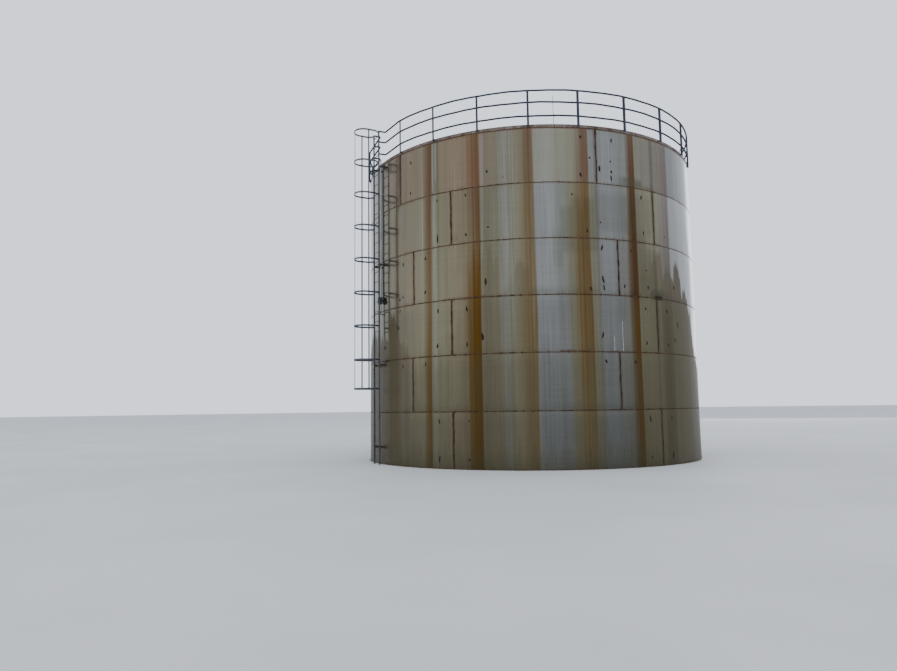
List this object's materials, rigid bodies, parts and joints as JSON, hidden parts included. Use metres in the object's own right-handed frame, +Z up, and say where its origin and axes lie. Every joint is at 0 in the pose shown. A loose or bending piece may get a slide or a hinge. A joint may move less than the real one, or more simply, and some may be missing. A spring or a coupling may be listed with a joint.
{
  "type": "vertical storage tank",
  "caption": "Upright cylindrical storage tank of welded stainless plate, with a low cone roof, rim guardrail, caged ladder, manholes and closed nozzles.",
  "frame": {"origin": "centre of the bottom plate's underside, on the ground", "axes": "+Z up along the tank's axis, -Y towards the ladder, +X to the right of the ladder as seen from outside"},
  "size_m": [10.597, 11.4958, 12.25],
  "materials": {
    "stainless_plate": "weathered stainless plate with rust and dirt streaks",
    "roof_steel": "dull weathered stainless plate",
    "rim_steel": "dull stained stainless angle",
    "rail_paint": "weathered dark slate paint",
    "ladder_paint": "weathered dark slate paint",
    "fittings_steel": "dull stainless with rust at the welds",
    "conduit_steel": "dull grey"
  },
  "bodies": {
    "root": {"bottom_plate": "rim_steel", "shell_course_1_plate_1": "stainless_plate", "shell_course_1_plate_2": "stainless_plate", "shell_course_1_plate_3": "stainless_plate", "shell_course_1_plate_4": "stainless_plate", "shell_course_1_plate_5": "stainless_plate", "shell_course_2_plate_1": "stainless_plate", "shell_course_2_plate_2": "stainless_plate", "shell_course_2_plate_3": "stainless_plate", "shell_course_2_plate_4": "stainless_plate", "shell_course_2_plate_5": "stainless_plate", "shell_course_3_plate_1": "stainless_plate", "shell_course_3_plate_2": "stainless_plate", "shell_course_3_plate_3": "stainless_plate", "shell_course_3_plate_4": "stainless_plate", "shell_course_3_plate_5": "stainless_plate", "shell_course_4_plate_1": "stainless_plate", "shell_course_4_plate_2": "stainless_plate", "shell_course_4_plate_3": "stainless_plate", "shell_course_4_plate_4": "stainless_plate", "shell_course_4_plate_5": "stainless_plate", "shell_course_5_plate_1": "stainless_plate", "shell_course_5_plate_2": "stainless_plate", "shell_course_5_plate_3": "stainless_plate", "shell_course_5_plate_4": "stainless_plate", "shell_course_5_plate_5": "stainless_plate", "shell_course_6_plate_1": "stainless_plate", "shell_course_6_plate_2": "stainless_plate", "shell_course_6_plate_3": "stainless_plate", "shell_course_6_plate_4": "stainless_plate", "shell_course_6_plate_5": "stainless_plate", "curb_angle": "rim_steel", "roof_plate": "roof_steel", "roof_vent": "fittings_steel", "roof_manhole": "fittings_steel", "roof_manhole_lid": "fittings_steel", "lightning_rod": "conduit_steel", "guardrail_1": "rail_paint", "guardrail_2": "rail_paint", "guardrail_3": "rail_paint", "ladder": "ladder_paint", "ladder_cage": "ladder_paint", "shell_manhole": "fittings_steel", "manhole_cover": "fittings_steel", "inlet_nozzle": "fittings_steel", "outlet_nozzle": "fittings_steel", "conduit": "conduit_steel", "junction_box": "conduit_steel"}
  },
  "joints": []
}
